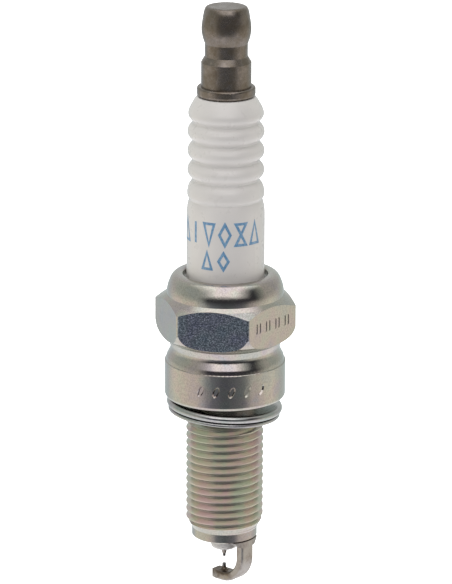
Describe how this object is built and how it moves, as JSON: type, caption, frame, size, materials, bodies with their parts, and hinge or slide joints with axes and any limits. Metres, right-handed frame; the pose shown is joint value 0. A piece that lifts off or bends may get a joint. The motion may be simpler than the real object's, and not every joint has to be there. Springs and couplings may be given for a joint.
{
  "type": "spark plug",
  "caption": "Motorcycle spark plug with a 10 mm long-reach thread, 16 mm hexagon, solid terminal, ribbed insulator and needle electrodes.",
  "frame": {"origin": "on the plug's axis, in the plane of the shell's seat face, where the thread begins", "axes": "+Z along the plug's axis towards the terminal; +X towards the root of the ground electrode, square to one of the six hexagon flats"},
  "size_m": [0.016, 0.0184, 0.076],
  "materials": {
    "zinc_plated_steel": "bright silver zinc plating, faintly iridescent",
    "gasket_steel": "folded strip, bright plated",
    "terminal_steel": "dull darkened steel with brown mottling",
    "packing_steel": "plain steel",
    "nickel_alloy": "matt nickel alloy, lightly heat tinted",
    "iridium": "fine dark precious-metal needle",
    "copper": "copper",
    "glazed_ceramic": "glazed white alumina",
    "seal_glass": "dark conductive glass",
    "resistor_carbon": "glass and carbon powder, fused",
    "talc": "pressed talc powder"
  },
  "bodies": {
    "plug": {"terminal_stud": "terminal_steel", "insulator": "glazed_ceramic", "metal_shell": "zinc_plated_steel", "upper_packing_ring": "packing_steel", "lower_packing_ring": "packing_steel", "talc_filling": "talc", "seat_packing": "packing_steel", "upper_glass_seal": "seal_glass", "resistor": "resistor_carbon", "lower_glass_seal": "seal_glass", "centre_electrode": "nickel_alloy", "centre_electrode_core": "copper", "centre_tip": "iridium", "centre_tip_weld": "nickel_alloy", "ground_electrode": "nickel_alloy", "ground_weld_bead": "nickel_alloy", "ground_tip_pedestal": "nickel_alloy", "ground_tip": "iridium"},
    "gasket": {"gasket": "gasket_steel"}
  },
  "joints": [
    {"name": "gasket_tilt", "type": "hinge", "parent": "plug", "child": "gasket", "pos_m": [-0.00462, -0.00513, -0.00028], "axis": [0.7431, -0.6691, 0], "range_deg": [0, 3.8]}
  ]
}
